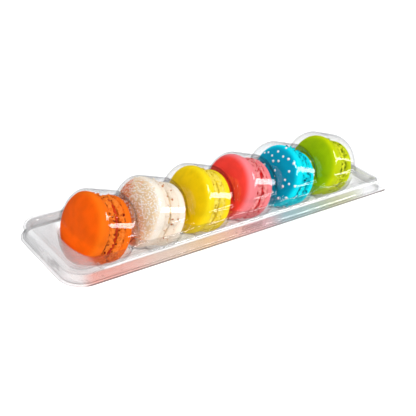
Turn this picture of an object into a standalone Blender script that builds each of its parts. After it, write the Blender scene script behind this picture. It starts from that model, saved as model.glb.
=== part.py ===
"""A shut, clear press-on pack with a row of six macarons standing on edge.

The row runs along X and the long side that is looked at faces -Y. The pack stands on the floors of
the six cells of its tray, whose flange and lid are held clear of the table. All sizes in the
constants are millimetres; the scene is in metres, +Z up, with its origin under the pack's middle.
"""

import math
import random

import bmesh
import bpy
from mathutils import Matrix, Vector

MM = 0.001

# The pack
PACK_LENGTH = 258.0
PACK_WIDTH = 74.5
CORNER_RADIUS = 14.0
TAB_CORNER_RADIUS = 6.0  # the far front corner, which has the pull tab, is tighter
SHEET = 0.5  # thickness of the formed plastic
GAP = 0.3  # clearance between pieces that touch
SKIRT_BOTTOM = 14.9  # height of the tray's lip above the table
LIP_THICKNESS = 0.6
LIP_REACH = 1.5  # how far the lip stands out past the lid's wall
RIM_TOP = 25.1  # top of the rounded bead round the lid
PANEL_TOP = 23.1  # the flat panel inside the bead
BEAD_WIDTH = 7.0
PLINTH_RISE = 3.8  # the low step that carries the domes
CORNER_STEPS = 4
DRUM_STEPS = 18
CELL_STEPS = 16
LATHE_STEPS = 18

# The row of macarons
COUNT = 6
PITCH = 37.8
ROW_START = -100.2  # centre of the first macaron's near edge
EDGE_HEIGHT = 29.3  # the same centre's height
TILT = math.radians(18.0)  # every macaron leans back, so its far shell sits lower
FILLING = 2.0

# Domes and cells follow the tilted macaron with room round it
DOME_RADIUS = 24.8
DOME_NEAR_CAP = 9.6
DOME_FAR_CAP = 9.2
LAST_FAR_CAP = 10.8  # the last dome has no neighbour and reaches further
DOME_LENGTH = 19.8
CELL_RADIUS = 22.9
CELL_CAP = 9.2
CELL_LENGTH = 18.8
# How an end closes, as pairs of the share of the cap reached and of the radius left
DOME_END = ((0.0, 1.0), (0.46, 0.905), (0.82, 0.62), (1.0, 0.46))
CELL_END = ((0.0, 1.0), (0.5, 0.955), (0.84, 0.76), (1.0, 0.5))
PAD_LENGTH = 12.0  # flat foot under each cell
PAD_WIDTH = 17.0

# Colours
CLEAR = (0.93, 0.95, 0.96)
FLAVOURS = {
    # shell colour, filling colour
    "orange": ((0.90, 0.16, 0.005), (0.62, 0.03, 0.002)),
    "cream": ((0.92, 0.78, 0.62), (0.85, 0.42, 0.14)),
    "yellow": ((0.92, 0.62, 0.005), (0.86, 0.66, 0.06)),
    "pink": ((0.88, 0.06, 0.07), (0.60, 0.01, 0.02)),
    "blue": ((0.005, 0.36, 0.62), (0.0, 0.12, 0.32)),
    "green": ((0.34, 0.48, 0.005), (0.20, 0.28, 0.0)),
}
SHAPES = {
    # radius of the near and of the far shell, height of their caps, shift along the cell, extra
    # lean, then where along the axis, from the near shell's widest ring, its foot begins, the
    # filling has its middle, the far shell's foot ends, and that shell has its own widest ring
    "orange": ((22.3, 21.6), 7.0, -0.8, 2.0, (4.0, 10.4, 16.7, 18.2)),
    "cream": ((22.9, 21.0), 7.0, 1.8, 1.5, (3.4, 9.0, 16.4, 18.6)),
    "yellow": ((22.75, 21.3), 7.0, 3.7, 0.1, (2.5, 7.8, 13.7, 15.5)),
    "pink": ((22.65, 21.1), 7.0, -0.3, 0.0, (6.0, 12.0, 16.4, 17.9)),
    "blue": ((22.2, 19.9), 5.4, 5.2, 1.5, (3.2, 11.4, 14.8, 16.2)),
    "green": ((22.1, 20.1), 6.5, 4.2, 0.8, (6.0, 12.6, 15.4, 16.6)),
}


def clear_scene():
    for ob in list(bpy.data.objects):
        bpy.data.objects.remove(ob, do_unlink=True)


def finish(name, colour, roughness, alpha=1.0):
    """A Principled material."""
    mat = bpy.data.materials.new(name)
    mat.use_nodes = True
    shader = mat.node_tree.nodes["Principled BSDF"]
    shader.inputs["Base Color"].default_value = (*colour, 1)
    shader.inputs["Roughness"].default_value = roughness
    shader.inputs["Metallic"].default_value = 0.0
    shader.inputs["Alpha"].default_value = alpha
    return mat


def object_from(name, bm):
    mesh = bpy.data.meshes.new(name)
    bmesh.ops.recalc_face_normals(bm, faces=bm.faces)
    bm.to_mesh(mesh)
    bm.free()
    ob = bpy.data.objects.new(name, mesh)
    bpy.context.collection.objects.link(ob)
    return ob


def loft(name, rings, closed=False):
    """A solid through rings of equally many points, with flat ends, or joined end to start."""
    bm = bmesh.new()
    rows = [[bm.verts.new(Vector(p) * MM) for p in ring] for ring in rings]
    pairs = list(zip(rows, rows[1:]))
    if closed:
        pairs.append((rows[-1], rows[0]))
    for low, high in pairs:
        for k in range(len(low)):
            m = (k + 1) % len(low)
            bm.faces.new((low[k], low[m], high[m], high[k]))
    if not closed:
        bm.faces.new(list(reversed(rows[0])))
        bm.faces.new(rows[-1])
    return object_from(name, bm)


def hull(name, points):
    """The convex solid round a cloud of points."""
    bm = bmesh.new()
    verts = [bm.verts.new(Vector(p) * MM) for p in points]
    made = bmesh.ops.convex_hull(bm, input=verts)
    spare = {v for v in made["geom_interior"] + made["geom_unused"] if isinstance(v, bmesh.types.BMVert)}
    bmesh.ops.delete(bm, geom=list(spare), context="VERTS")
    return object_from(name, bm)


def combine(target, tools, operation, solver="EXACT"):
    """One Boolean with all the tools at once, applied, after which the tools are gone."""
    group = bpy.data.collections.new("tools")
    for tool in tools:
        group.objects.link(tool)
    cut = target.modifiers.new("combine", "BOOLEAN")
    cut.operation = operation
    cut.solver = solver
    cut.operand_type = "COLLECTION"
    cut.collection = group
    seen = target.evaluated_get(bpy.context.evaluated_depsgraph_get())
    mesh = bpy.data.meshes.new_from_object(seen)
    target.modifiers.clear()
    target.data = mesh
    for tool in list(tools):
        bpy.data.objects.remove(tool, do_unlink=True)
    bpy.data.collections.remove(group)
    return target


def rounded_rect(x0, x1, y0, y1, corner, z, steps=CORNER_STEPS, far_front=None):
    """A level ring with round corners, anticlockwise from above; the far front one may differ."""
    ring = []
    tight = corner if far_front is None else far_front
    corners = ((x1, y1, 0, corner), (x0, y1, 90, corner), (x0, y0, 180, corner), (x1, y0, 270, tight))
    for cx, cy, start, radius in corners:
        ox = cx - math.copysign(radius, cx - (x0 + x1) / 2)
        oy = cy - math.copysign(radius, cy - (y0 + y1) / 2)
        for step in range(steps + 1):
            a = math.radians(start + 90 * step / steps)
            ring.append((ox + radius * math.cos(a), oy + radius * math.sin(a), z))
    return ring


def pack_ring(inset, z):
    """The pack's own outline at the lid's wall, moved inwards by inset."""
    half_x, half_y = PACK_LENGTH / 2 - inset, PACK_WIDTH / 2 - inset
    tight = max(TAB_CORNER_RADIUS - inset, 1.0)
    return rounded_rect(-half_x, half_x, -half_y, half_y, CORNER_RADIUS - inset, z, far_front=tight)


def plinth_rings(shrink, base, top):
    """The step under the domes: its foot and its crown, sloping in more at the near end."""
    near, far, side = -116.8 + shrink, 118.6 - shrink, 25.6 - shrink
    return [
        rounded_rect(near, far, -side, side, 15.5 - shrink, base),
        rounded_rect(near + 5.4, far - 0.9, -side + 2.2, side - 2.2, 13.5 - shrink, top),
    ]


def bead_profile(shrink, bottom):
    """Pairs of inset and height from the foot of the wall, over the round bead, to the panel."""
    top, width = RIM_TOP - shrink, BEAD_WIDTH
    return [
        (shrink, bottom),
        (shrink, top - 2.4),
        (shrink + 0.5, top - 0.9),
        (shrink + 1.8, top),
        (width - 2.6 - shrink, top),
        (width - 1.2 - shrink, top - 0.9),
        (width - shrink, PANEL_TOP - shrink),
    ]


def drum_ring(start, along, radius, steps):
    """A ring square to the tilted axis of the macaron that starts at start."""
    axis = Vector((math.cos(TILT), 0, -math.sin(TILT)))
    up = Vector((math.sin(TILT), 0, math.cos(TILT)))
    centre = Vector(start) + axis * along
    return [
        centre + radius * (Vector((0, math.cos(a), 0)) + up * math.sin(a))
        for a in (2 * math.pi * k / steps for k in range(steps))
    ]


def drum_points(start, radius, near_cap, length, far_cap, end_shape, steps):
    """The surface of a tilted drum with softly domed ends, as points."""
    points = []
    for reached, kept in end_shape:
        points += drum_ring(start, -near_cap * reached, radius * kept, steps)
        points += drum_ring(start, length + far_cap * reached, radius * kept, steps)
    return points


def clipped(points, steps, height, side):
    """The points over (side 1) or under (side -1) a level plane, with the places where the rings
    cross it, and all of these moved onto it."""
    kept = [p for p in points if (p.z - height) * side > 0]
    for first in range(0, len(points), steps):
        ring = points[first : first + steps]
        for p, q in zip(ring, ring[1:] + ring[:1]):
            if (p.z - height) * (q.z - height) < 0:
                kept.append(p.lerp(q, (height - p.z) / (q.z - p.z)))
    return kept + [Vector((p.x, p.y, height)) for p in kept]


def row_start(index):
    return Vector((ROW_START + PITCH * index, 0, EDGE_HEIGHT))


def dome(index, shrink, floor):
    """The lid's dome over one macaron: the drum with everything under it filled down to floor."""
    last = index == COUNT - 1
    sizes = (DOME_RADIUS, DOME_NEAR_CAP, LAST_FAR_CAP if last else DOME_FAR_CAP)
    radius, near_cap, far_cap = (size - shrink for size in sizes)
    radius /= math.cos(math.pi / DRUM_STEPS)  # the facets, not the corners, lie at the radius
    points = drum_points(row_start(index), radius, near_cap, DOME_LENGTH, far_cap, DOME_END, DRUM_STEPS)
    return hull(f"dome_{index}", clipped(points, DRUM_STEPS, floor, 1))


def cell(index, grow, ceiling):
    """The tray's cell for one macaron: the drum with everything over it opened up to ceiling."""
    # its flat facets, not its corners, keep this far from the macaron
    radius, cap = (CELL_RADIUS + grow) / math.cos(math.pi / CELL_STEPS), CELL_CAP + grow
    points = drum_points(row_start(index), radius, cap, CELL_LENGTH, cap, CELL_END, CELL_STEPS)
    return hull(f"cell_{index}", clipped(points, CELL_STEPS, ceiling, -1))


def pad(index, shrink, top):
    """The flat foot under a cell's deep end."""
    deep_end = (CELL_LENGTH + 2.5) * math.cos(TILT) - CELL_RADIUS * math.sin(TILT)
    lowest = ROW_START + PITCH * index + deep_end
    half_x, half_y = PAD_LENGTH / 2 - shrink, PAD_WIDTH / 2 - shrink
    rings = [
        rounded_rect(lowest - half_x - flare, lowest + half_x + flare, -half_y - flare, half_y + flare, 4.0, z, 1)
        for flare, z in ((0.0, shrink), (1.0, top))
    ]
    return loft(f"pad_{index}", rings)


def box_ring(x0, x1, y0, y1, z, inset):
    return [
        (x1 - inset, y1 - inset, z),
        (x0 + inset, y1 - inset, z),
        (x0 + inset, y0 + inset, z),
        (x1 - inset, y0 + inset, z),
    ]


def wall_grooves(name, depth, grow):
    """Shallow grooves in the lid's wall, with round ends, as the ring of wall inside soft boxes."""
    low, high = SKIRT_BOTTOM + 2.2 - grow, RIM_TOP - 3.4 + grow
    outer = [pack_ring(-1.0, low - 1), pack_ring(-1.0, high + 1)]
    inner = [pack_ring(depth + grow, high + 1), pack_ring(depth + grow, low - 1)]
    ring = loft(name, outer + inner, closed=True)
    far, side = PACK_LENGTH / 2 + 3, PACK_WIDTH / 2 + 3
    spans = [
        (-far, -108.0, -side, -13.6),
        (-far, -108.0, 24.0, side),
        (104.0, far, 10.0, side),
    ]
    for y0, y1 in ((-side, -side + 8), (side - 8, side)):
        spans += [(-96.0, -8.0, y0, y1), (16.0, 103.0 if y0 < 0 else 96.0, y0, y1)]
    boxes = []
    for x0, x1, y0, y1 in spans:
        rings = [
            box_ring(x0 - grow, x1 + grow, y0 - grow, y1 + grow, z, inset)
            for z, inset in ((low, 1.6), (low + 1.6, 0.0), (high - 1.6, 0.0), (high, 1.6))
        ]
        boxes.append(loft("groove", rings))
    first, rest = boxes[0], boxes[1:]
    union = combine(first, rest, "UNION")
    return combine(ring, [union], "INTERSECT")


def snap_ribs():
    """Fine level ribs where the lid grips the tray, in the middle of each side and at the near end."""
    ribs = []
    heights = [SKIRT_BOTTOM + 3.0 + 1.7 * k for k in range(3)]
    side, end = PACK_WIDTH / 2, PACK_LENGTH / 2
    profile = [(-0.35, -0.6), (0.45, 0.0), (-0.35, 0.6)]
    for z in heights:
        for sign in (-1, 1):
            spans = [[(x, sign * (side + out), z + up) for out, up in profile] for x in (-5, 13)]
            ribs.append(loft("rib", spans))
            ends = (7, 20) if sign < 0 else (-20, -7)
            spans = [[(sign * (end + out), y, z + up) for out, up in profile] for y in ends]
            ribs.append(loft("rib", spans))
    return ribs


def make_lid(material):
    """The lid: wall with grooves and ribs, round bead, sunk panel, step and six leaning domes."""
    bottom = SKIRT_BOTTOM + LIP_THICKNESS + GAP
    crown = PANEL_TOP + PLINTH_RISE
    skins = []
    for shrink, foot in ((0.0, bottom), (SHEET, bottom - 3)):
        rings = [pack_ring(inset, z) for inset, z in bead_profile(shrink, foot)]
        rings += plinth_rings(shrink, PANEL_TOP - shrink, crown - shrink)
        skins.append(loft("lid", rings))
    lid, hollow = skins
    combine(lid, [wall_grooves("grooves", 0.7, 0.0)], "DIFFERENCE")
    combine(hollow, [wall_grooves("grooves", 0.7, SHEET)], "DIFFERENCE")
    combine(lid, [dome(k, 0.0, crown - 1.2) for k in range(COUNT)], "UNION")
    combine(hollow, [dome(k, SHEET, crown - 3.0) for k in range(COUNT)], "UNION")
    combine(lid, [hollow], "DIFFERENCE")
    combine(lid, snap_ribs(), "UNION")
    lid.name = "lid"
    lid.data.materials.clear()
    lid.data.materials.append(material)
    return lid


def make_tray(material):
    """The tray: lip with a corner tab, skirt, bead, plate and six deep cells with flat feet."""
    inside_lid = SHEET + GAP
    skirt_face = inside_lid + 1.0
    plate = PANEL_TOP - inside_lid
    lip_top = SKIRT_BOTTOM + LIP_THICKNESS
    skins = []
    for shrink, foot in ((0.0, SKIRT_BOTTOM), (SHEET, SKIRT_BOTTOM - 3)):
        top = RIM_TOP - inside_lid - 0.4 - shrink
        if shrink:
            rings = [pack_ring(skirt_face + shrink, foot)]
        else:
            rings = [pack_ring(-LIP_REACH, foot), pack_ring(-LIP_REACH, lip_top)]
            rings.append(pack_ring(skirt_face, lip_top))
        rings += [
            pack_ring(skirt_face + shrink, top - 2.2),
            pack_ring(skirt_face + shrink + 0.6, top - 0.5),
            pack_ring(skirt_face + 1.7, top),
            pack_ring(skirt_face + 2.8 - shrink, top - 0.5),
            pack_ring(skirt_face + 3.6 - shrink, plate - shrink),
        ]
        skins.append(loft("base_tray", rings))
    tray, hollow = skins
    combine(tray, [hollow], "DIFFERENCE")
    combine(tray, [cell(k, SHEET, plate - 0.25) for k in range(COUNT)], "UNION")
    combine(tray, [pad(k, 0.0, 4.0) for k in range(COUNT)], "UNION")
    combine(tray, [cell(k, 0.0, plate + 4) for k in range(COUNT)], "DIFFERENCE")
    combine(tray, [pad(k, SHEET, 3.5) for k in range(COUNT)], "DIFFERENCE")
    combine(tray, [corner_tab()], "UNION")
    tray.name = "base_tray"
    tray.data.materials.clear()
    tray.data.materials.append(material)
    return tray


def corner_tab():
    """The small flat tab at the far front corner, to pull the pack open by."""
    corner = Vector((PACK_LENGTH / 2, -PACK_WIDTH / 2, 0))
    outline = [(-14, 3), (-12, -1.2), (1.0, -1.9), (3.6, -0.6), (3.9, 3), (1.2, 12), (-3, 13)]
    levels = (SKIRT_BOTTOM + 0.05, SKIRT_BOTTOM + LIP_THICKNESS - 0.05)
    return loft("tab", [[corner + Vector((x, y, z)) for x, y in outline] for z in levels])


def foot_share(edge):
    """How much of the shell's radius its foot keeps: less under a longer, tapering edge."""
    return 0.985 - 0.012 * edge


def shell_profile(radius, cap, edge, foot, ruffle):
    """Pairs of distance from the middle of the face and radius, over the cap, edge and foot."""
    profile = []
    for angle in (18, 40, 62, 78, 90):
        a = math.radians(angle)
        profile.append((cap * (1 - math.cos(a) ** 0.8), radius * math.sin(a) ** 0.8))
    share = foot_share(edge)
    profile.append((cap + edge * 0.6, radius * (0.7 + 0.3 * share)))
    profile.append((cap + edge, radius * (share + 0.012)))
    profile.append((cap + edge + 0.5, radius * (share - 0.025)))
    profile.append((cap + edge + foot * 0.6, radius * (share + ruffle)))
    profile.append((cap + edge + foot, radius * (share - 0.03)))
    return profile


def lathe(name, place, profile, uneven, seed, steps=LATHE_STEPS):
    """A solid turned about the macaron's axis, its radii uneven by small seeded draws."""
    draws = random.Random(seed)
    waves = []
    for _ in range(3):
        waves.append((draws.choice((2, 3, 5)), draws.uniform(0, 2 * math.pi), draws.uniform(0.3, 1.0)))
    bm = bmesh.new()
    rows = []
    for s, r in profile:
        row = []
        for k in range(steps):
            a = 2 * math.pi * k / steps
            wave = sum(size * math.sin(n * a + turn) for n, turn, size in waves) / 3
            rough = draws.uniform(-1, 1) * uneven.get(len(rows), 0.0)
            out = r * (1 + 0.006 * wave) + rough
            row.append(bm.verts.new(place @ Vector((s, out * math.cos(a), out * math.sin(a))) * MM))
        rows.append(row)
    for low, high in zip(rows, rows[1:]):
        for k in range(steps):
            m = (k + 1) % steps
            bm.faces.new((low[k], low[m], high[m], high[k]))
    bulge = math.copysign(0.25 if len(profile) > 4 else 0.0, profile[0][0] - profile[-1][0])
    for row, s in ((rows[0], profile[0][0] + bulge), (rows[-1], profile[-1][0])):
        middle = bm.verts.new(place @ Vector((s, 0, 0)) * MM)
        for k in range(steps):
            bm.faces.new((row[k], row[(k + 1) % steps], middle))
    ob = object_from(name, bm)
    ob.data.shade_smooth()
    ob.data.set_sharp_from_angle(angle=math.radians(50))
    return ob


def macaron_frame(index, radius, apart, cap, shift, lean):
    """Takes a point on the axis, from the near face's middle, to the pack."""
    tilt = TILT + math.radians(lean)
    axis = Vector((math.cos(tilt), 0, -math.sin(tilt)))
    up = Vector((math.sin(tilt), 0, math.cos(tilt)))
    # it lies on the cell's sloping floor, GAP clear of it, at the far end too
    lift = radius - CELL_RADIUS + GAP + math.sin(math.radians(lean)) * apart
    cell_axis = Vector((math.cos(TILT), 0, -math.sin(TILT)))
    cell_up = Vector((math.sin(TILT), 0, math.cos(TILT)))
    start = row_start(index) + cell_axis * shift + cell_up * lift
    turn = Matrix((axis, (0, 1, 0), up)).transposed().to_4x4()
    return Matrix.Translation(start - axis * cap) @ turn


def scatter(place, count, seed, facing, radius, cap, keep_apart, least, most):
    """Seeded places on a shell's cap and edge, as centre and outward direction, spread evenly.
    The lowest part of the edge, where the macaron rests, is left out."""
    draws = random.Random(seed)
    found = []
    tries = 0
    while len(found) < count and tries < 20000:
        tries += 1
        a = draws.uniform(0, 2 * math.pi)
        angle = math.asin(math.sqrt(draws.uniform(least, most)))
        s, r = cap * (1 - math.cos(angle) ** 0.8), radius * math.sin(angle) ** 0.8
        spot = Vector((s * facing, r * math.cos(a), r * math.sin(a)))
        if spot.z > -0.6 * radius and all((spot - other).length > keep_apart for other, _ in found):
            slope = math.sin(angle) ** 1.3
            out = Vector((-facing * (1 - slope), slope * math.cos(a), slope * math.sin(a))).normalized()
            found.append((spot, out))
    turn = place.to_3x3()
    return [(place @ spot, turn @ out) for spot, out in found]


def pearl(spot, out, size):
    """A sugar pearl sunk half into the shell."""
    bm = bmesh.new()
    centre = Matrix.Translation((spot - out * 0.15) * MM)
    bmesh.ops.create_icosphere(bm, subdivisions=1, radius=size * MM, matrix=centre)
    return object_from("pearl", bm)


def flake(spot, out, draws):
    """A curled chip of coconut, a thin four-sided sliver laid almost flat on the shell."""
    across = out.orthogonal().normalized()
    across.rotate(Matrix.Rotation(draws.uniform(0, 2 * math.pi), 3, out))
    side = out.cross(across)
    length, width, thick = draws.uniform(1.5, 2.4), draws.uniform(0.5, 0.9), 0.35
    lift = draws.uniform(-0.1, 0.25)
    rings = []
    for t, squeeze, rise in ((-1, 0.35, 0.0), (0, 1.0, 0.15), (1, 0.45, lift)):
        middle = spot + across * length * t / 2 + out * rise
        rings.append(
            [
                middle + side * width * squeeze * u / 2 + out * thick * w
                for u, w in ((-1, -1), (1, -1), (1, 1), (-1, 1))
            ]
        )
    return loft("flake", rings)


def make_macaron(index, name):
    """Near shell, filling and far shell of one macaron, with its toppings fused on."""
    colour, inside = FLAVOURS[name]
    (near_radius, far_radius), cap, shift, lean, (edge, middle, far_foot_end, apart) = SHAPES[name]
    place = macaron_frame(index, max(near_radius, far_radius), apart, cap, shift, lean)
    length = apart + 2 * cap
    half = FILLING / 2
    crust = finish(f"{name}_crust", colour, 0.6)
    cream = finish(f"{name}_cream", inside, 0.5)
    ruffled = {7: 0.12, 8: 0.30, 9: 0.20}
    profile = shell_profile(near_radius, cap, edge, middle - half - GAP - edge, 0.0)
    near = lathe(f"{name}_shell_near", place, profile, ruffled, 10 + index)
    far_edge = apart - far_foot_end
    profile = shell_profile(far_radius, cap, far_edge, far_foot_end - middle - half - GAP, -0.003)
    far = lathe(f"{name}_shell_far", place, [(length - s, r) for s, r in profile], ruffled, 30 + index)
    kept = min(near_radius * foot_share(edge), far_radius * foot_share(far_edge)) - 1.2
    disc = [(cap + middle + side * half, kept + (0.0 if side else 0.35)) for side in (-1, 0, 1)]
    filling = lathe(f"{name}_filling", place, disc, {1: 0.15}, 50 + index)
    if name == "blue":
        seat = place @ Matrix.Translation((length, 0, 0))
        spots = scatter(place, 24, 71, 1, near_radius * 0.985, cap, 4.2, 0.0, 0.96)
        combine(near, [pearl(spot, out, 0.75) for spot, out in spots], "UNION", "MANIFOLD")
        spots = scatter(seat, 6, 69, -1, far_radius * 0.985, cap, 4.2, 0.8, 0.96)
        combine(far, [pearl(spot, out, 0.75) for spot, out in spots], "UNION", "MANIFOLD")
    if name == "cream":
        draws = random.Random(5)
        spots = scatter(place, 26, 91, 1, near_radius, cap, 3.6, 0.0, 0.8)
        combine(near, [flake(spot, out, draws) for spot, out in spots], "UNION", "MANIFOLD")
    for piece, material in ((near, crust), (far, crust), (filling, cream)):
        piece.data.materials.clear()
        piece.data.materials.append(material)


def main():
    clear_scene()
    clear = finish("clear_plastic", CLEAR, 0.08, 0.3)
    make_lid(clear)
    make_tray(finish("clear_tray_plastic", CLEAR, 0.1, 0.3))
    for index, name in enumerate(FLAVOURS):
        make_macaron(index, name)


main()
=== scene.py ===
import math
import random

import bpy
import numpy as np
from mathutils import Matrix, Vector


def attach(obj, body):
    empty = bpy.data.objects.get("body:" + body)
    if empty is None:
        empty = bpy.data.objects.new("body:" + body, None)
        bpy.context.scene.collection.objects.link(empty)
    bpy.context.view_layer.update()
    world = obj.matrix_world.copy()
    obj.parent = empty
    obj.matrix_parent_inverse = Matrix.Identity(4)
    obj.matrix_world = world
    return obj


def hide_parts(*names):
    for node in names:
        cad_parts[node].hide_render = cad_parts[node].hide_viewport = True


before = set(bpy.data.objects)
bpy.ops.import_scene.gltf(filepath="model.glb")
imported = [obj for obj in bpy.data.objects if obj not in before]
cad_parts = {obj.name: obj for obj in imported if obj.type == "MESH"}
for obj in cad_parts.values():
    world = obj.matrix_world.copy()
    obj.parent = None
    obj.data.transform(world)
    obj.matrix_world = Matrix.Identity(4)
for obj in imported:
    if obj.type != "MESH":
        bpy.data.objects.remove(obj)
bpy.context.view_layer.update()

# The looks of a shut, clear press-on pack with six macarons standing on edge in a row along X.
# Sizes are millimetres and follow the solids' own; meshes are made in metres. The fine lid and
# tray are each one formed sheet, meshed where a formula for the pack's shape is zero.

MM = 0.001

# The pack
PACK_LENGTH = 258.0
PACK_WIDTH = 74.5
CORNER_RADIUS = 14.0
TAB_CORNER_RADIUS = 6.0
SHEET = 0.5
GAP = 0.3
LIP_BOTTOM = 14.9
LIP_TOP = 15.5
LIP_REACH = 1.5
RIM_TOP = 25.1
PANEL_TOP = 23.1
CROWN_TOP = 26.9
BEAD_WIDTH = 6.6
BEAD_ROUND = 2.3
GROOVE_DEPTH = 0.7
RIB_HEIGHT = 0.35
RIB_GAP = 1.7
LEDGE_DEPTH = 0.85

# The row of macarons
COUNT = 6
PITCH = 37.8
ROW_START = -100.2
EDGE_HEIGHT = 29.3
TILT = math.radians(18.0)
FILLING = 2.0

# A dome of the lid, the last dome and a cell of the tray: radius, near cap, far cap, length, and
# the powers that say how square the ends are
DOME = (24.55, 9.6, 9.1, 19.8, 2.0, 2.3)
LAST_DOME = (24.55, 9.6, 10.7, 19.8, 2.0, 2.3)
CELL = (22.9, 9.2, 9.2, 18.8, 2.6, 3.8)

# Linear colours of the crust, its paler rim, painted as a lit side, the foot, the painted shade in its pores
# and cracks, and the filling
FLAVOURS = {
    "orange": (
        (0.87, 0.105, 0.0), (0.95, 0.17, 0.004), (0.97, 0.26, 0.03), (0.20, 0.006, 0.0), (0.72, 0.045, 0.0),
    ),
    "cream": (
        (0.82, 0.63, 0.38), (0.96, 0.87, 0.74), (0.96, 0.84, 0.68), (0.58, 0.20, 0.04), (0.93, 0.60, 0.22),
    ),
    "yellow": (
        (0.86, 0.57, 0.0), (0.97, 0.74, 0.01), (0.98, 0.84, 0.14), (0.62, 0.36, 0.0), (0.72, 0.47, 0.0),
    ),
    "pink": (
        (0.95, 0.055, 0.038), (0.95, 0.25, 0.27), (0.97, 0.40, 0.38), (0.66, 0.0, 0.0), (0.80, 0.0, 0.0),
    ),
    "blue": (
        (0.0, 0.34, 0.52), (0.0, 0.82, 0.95), (0.0, 0.90, 0.96), (0.0, 0.03, 0.12), (0.0, 0.07, 0.19),
    ),
    "green": (
        (0.34, 0.52, 0.0), (0.58, 0.68, 0.0), (0.90, 0.92, 0.04), (0.03, 0.12, 0.0), (0.08, 0.19, 0.0),
    ),
}
SHAPES = {
    # radius of the near and of the far shell, height of their caps, shift along the cell, extra
    # lean, then where along the axis, from the near shell's widest ring, its foot begins, the
    # filling has its middle, the far shell's foot ends, and that shell has its own widest ring
    "orange": ((22.3, 21.6), 7.0, -0.8, 2.0, (4.0, 10.4, 16.7, 18.2)),
    "cream": ((22.9, 21.0), 7.0, 1.8, 1.5, (3.4, 9.0, 16.4, 18.6)),
    "yellow": ((22.75, 21.3), 7.0, 3.7, 0.1, (2.5, 7.8, 13.7, 15.5)),
    "pink": ((22.65, 21.1), 7.0, -0.3, 0.0, (6.0, 12.0, 16.4, 17.9)),
    "blue": ((22.2, 19.9), 5.4, 5.2, 1.5, (3.2, 11.4, 14.8, 16.2)),
    "green": ((22.1, 20.1), 6.5, 4.2, 0.8, (6.0, 12.6, 15.4, 16.6)),
}
# How rough each foot is: ruffle, lump, lump size, pore depth, pore size, share of pores, crack
FEET = {
    "orange": (0.9, 1.4, 1.8, 1.2, 1.9, 0.50, 0.7),
    "cream": (0.8, 1.0, 2.0, 1.3, 2.0, 0.36, 0.2),
    "yellow": (1.0, 1.5, 1.7, 1.2, 1.7, 0.50, 0.5),
    "pink": (1.0, 2.0, 1.6, 1.5, 1.7, 0.50, 1.3),
    "blue": (1.2, 1.9, 2.3, 1.7, 2.2, 0.48, 1.0),
    "green": (1.2, 1.7, 1.9, 1.5, 2.0, 0.46, 1.3),
}


# Trees of nodes

def is_socket(value):
    return isinstance(value, bpy.types.NodeSocket)


def add_node(tree, kind, inputs=None, **settings):
    """A node with its settings, each input given as a plain value or as a socket to join."""
    node = tree.nodes.new(kind)
    for key, value in settings.items():
        setattr(node, key, value)
    for key, value in (inputs or {}).items():
        if is_socket(value):
            tree.links.new(value, node.inputs[key])
        else:
            node.inputs[key].default_value = value
    return node


def calc(tree, operation, *values):
    return add_node(tree, "ShaderNodeMath", dict(enumerate(values)), operation=operation).outputs[0]


def product(tree, first, *others):
    """All the values multiplied together."""
    for value in others:
        first = calc(tree, "MULTIPLY", first, value)
    return first


def vector_calc(tree, operation, first, second):
    inputs = {0: first, "Scale" if operation == "SCALE" else 1: second}
    return add_node(tree, "ShaderNodeVectorMath", inputs, operation=operation).outputs[0]


def ramp(tree, value, low, high, to_low=0.0, to_high=1.0):
    """The value taken smoothly from one range to another."""
    inputs = dict(enumerate((value, low, high, to_low, to_high)))
    return add_node(tree, "ShaderNodeMapRange", inputs, interpolation_type="SMOOTHSTEP").outputs[0]


def grey(level):
    return (level, level, level)


def mix_colour(tree, share, first, second, blend="MIX"):
    first, second = (c if is_socket(c) else (*c, 1.0) for c in (first, second))
    inputs = {0: share, 6: first, 7: second}
    return add_node(tree, "ShaderNodeMix", inputs, data_type="RGBA", blend_type=blend).outputs[2]


def noise(tree, place, scale, detail, output="Fac"):
    inputs = {"Vector": place, "Scale": scale, "Detail": detail}
    return add_node(tree, "ShaderNodeTexNoise", inputs).outputs[output]


def mix_shaders(tree, share, first, second):
    return add_node(tree, "ShaderNodeMixShader", {0: share, 1: first.outputs[0], 2: second.outputs[0]})


def new_material(name):
    material = bpy.data.materials.new(name)
    material.use_nodes = True
    material.node_tree.nodes.clear()
    return material, material.node_tree


# Shapes of the formed sheets, as fields that are below zero inside

def smooth_min(a, b, blend):
    near = np.maximum(blend - np.abs(a - b), 0.0) / blend
    return np.minimum(a, b) - near * near * blend / 4


def smooth_max(a, b, blend):
    return -smooth_min(-a, -b, blend)


def smooth_step(value, low, high):
    t = np.clip((value - low) / (high - low), 0.0, 1.0)
    return t * t * (3 - 2 * t)


def rounded_rect(x, y, half_x, half_y, radius):
    """Distance outside a level rounded rectangle, whose radius may differ from point to point."""
    over_x, over_y = np.abs(x) - (half_x - radius), np.abs(y) - (half_y - radius)
    outer = np.hypot(np.maximum(over_x, 0), np.maximum(over_y, 0))
    return outer + np.minimum(np.maximum(over_x, over_y), 0) - radius


def pack_outline(x, y):
    radius = np.where((x > 0) & (y < 0), TAB_CORNER_RADIUS, CORNER_RADIUS)
    return rounded_rect(x, y, PACK_LENGTH / 2, PACK_WIDTH / 2, radius)


def bead(inset, z, start, width, top, blend):
    """A wall with a round bead along its top, in the plane square to the pack's outline."""
    over_x = np.abs(inset - start - width / 2) - (width / 2 - blend)
    over_z = z - (top - blend)
    outer = np.hypot(np.maximum(over_x, 0), np.maximum(over_z, 0))
    return outer + np.minimum(np.maximum(over_x, over_z), 0) - blend


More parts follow.
